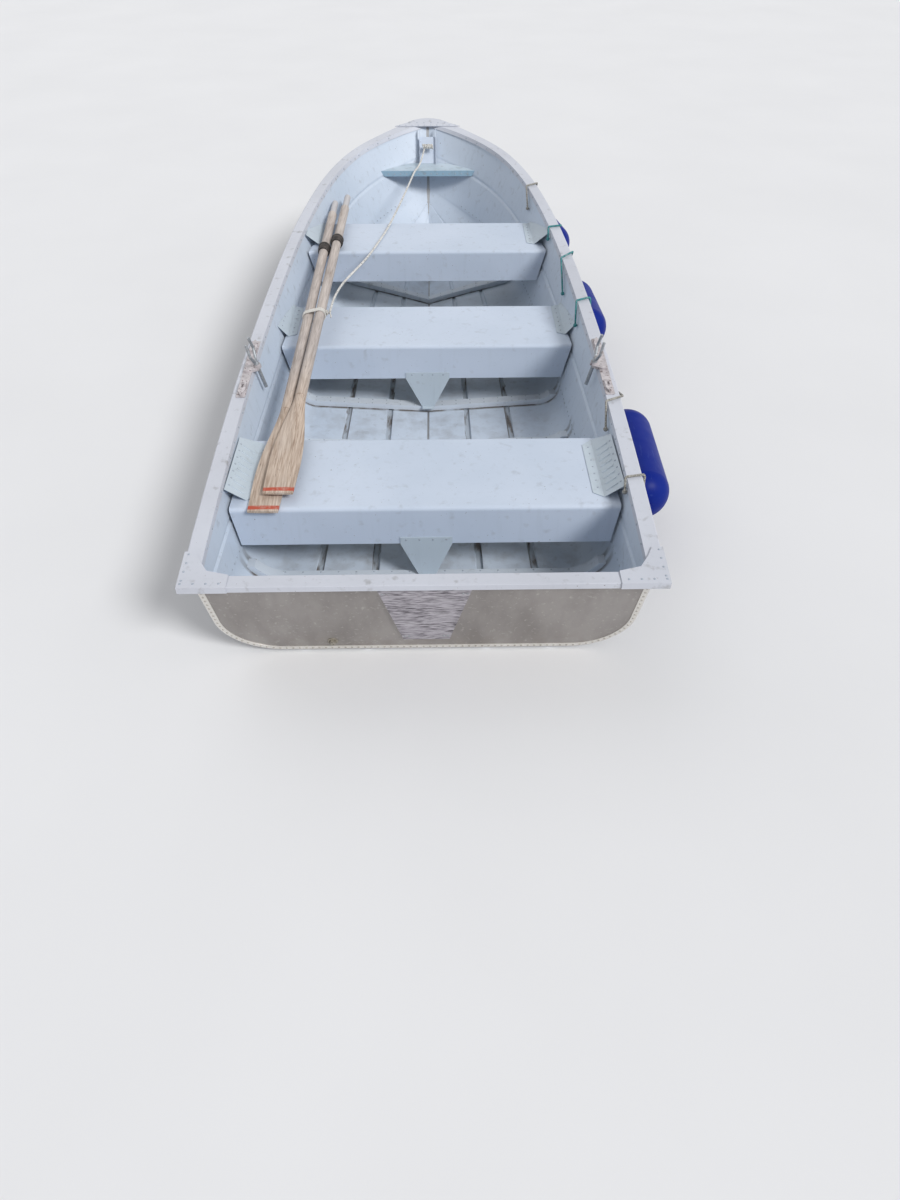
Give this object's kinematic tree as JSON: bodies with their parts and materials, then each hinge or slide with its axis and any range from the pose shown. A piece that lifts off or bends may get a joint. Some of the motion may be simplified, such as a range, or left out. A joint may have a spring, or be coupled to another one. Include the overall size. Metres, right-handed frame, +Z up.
{
  "type": "rowing boat",
  "caption": "Open aluminium rowing boat with thwarts, pressed runners, motor pad, turning rowlocks, oars and fenders.",
  "frame": {"origin": "on the centreline at the transom's foot, on the ground that the keel strip stands on", "axes": "+X to starboard, +Y forward along the boat, +Z up"},
  "size_m": [1.5578, 3.6809, 0.6628],
  "materials": {
    "hull_paint": "matt pale blue-grey paint, worn",
    "outer_metal": "bare, weathered",
    "edge_metal": "bare, brushed by wear",
    "rail_paint": "satin off-white paint, worn",
    "seat_paint": "matt pale blue-grey paint",
    "bracket_paint": "matt pale greenish-white paint",
    "foam": "plain closed-cell foam",
    "pad_paint": "worn grey-lilac paint, scratched",
    "galvanized": "dull zinc coat",
    "socket_metal": "cast, painted and worn",
    "plug_brass": "dull",
    "oar_wood": "weathered grey-beige, varnish gone",
    "collar_rubber": "matt, dusty",
    "fender_vinyl": "satin soft vinyl, scuffed",
    "white_cord": "laid cord, used",
    "lanyard_cord": "braided cord, faded"
  },
  "bodies": {
    "hull": {"bottom_port": "hull_paint", "bottom_starboard": "hull_paint", "side_port": "hull_paint", "side_starboard": "hull_paint", "keel_strip": "edge_metal", "stem_band": "edge_metal", "bow_eye": "galvanized", "transom": "outer_metal", "transom_edge": "edge_metal", "gunwale_port": "rail_paint", "gunwale_starboard": "rail_paint", "transom_cap": "rail_paint", "corner_plates": "rail_paint", "bow_cap": "rail_paint", "bow_shelf": "hull_paint", "bow_post": "hull_paint", "floor_ribs": "hull_paint", "thwart_aft": "seat_paint", "thwart_mid": "seat_paint", "thwart_front": "seat_paint", "seat_foam": "foam", "brackets_aft": "bracket_paint", "brackets_mid": "bracket_paint", "brackets_front": "bracket_paint", "knee_plates": "seat_paint", "motor_pad": "pad_paint", "drain_plug": "plug_brass", "rowlock_socket_starboard": "socket_metal", "rowlock_socket_port": "socket_metal", "oar_outer": "oar_wood", "oar_inner": "oar_wood", "oar_collars": "collar_rubber", "oar_lashing": "white_cord", "fender_aft": "fender_vinyl", "fender_mid": "fender_vinyl", "fender_front": "fender_vinyl", "fender_lanyards": "lanyard_cord", "bow_line_knot": "white_cord", "bow_line": "white_cord"},
    "rowlock_starboard": {"rowlock_starboard": "galvanized"},
    "rowlock_port": {"rowlock_port": "galvanized"}
  },
  "joints": [
    {"name": "rowlock_starboard_turn", "type": "hinge", "parent": "hull", "child": "rowlock_starboard", "pos_m": [0.64138, 1.05547, 0.44238], "axis": [0.2079, -0.0432, 0.9772], "continuous": true},
    {"name": "rowlock_port_turn", "type": "hinge", "parent": "hull", "child": "rowlock_port", "pos_m": [-0.64138, 1.05547, 0.44238], "axis": [-0.2079, -0.0432, 0.9772], "continuous": true}
  ]
}
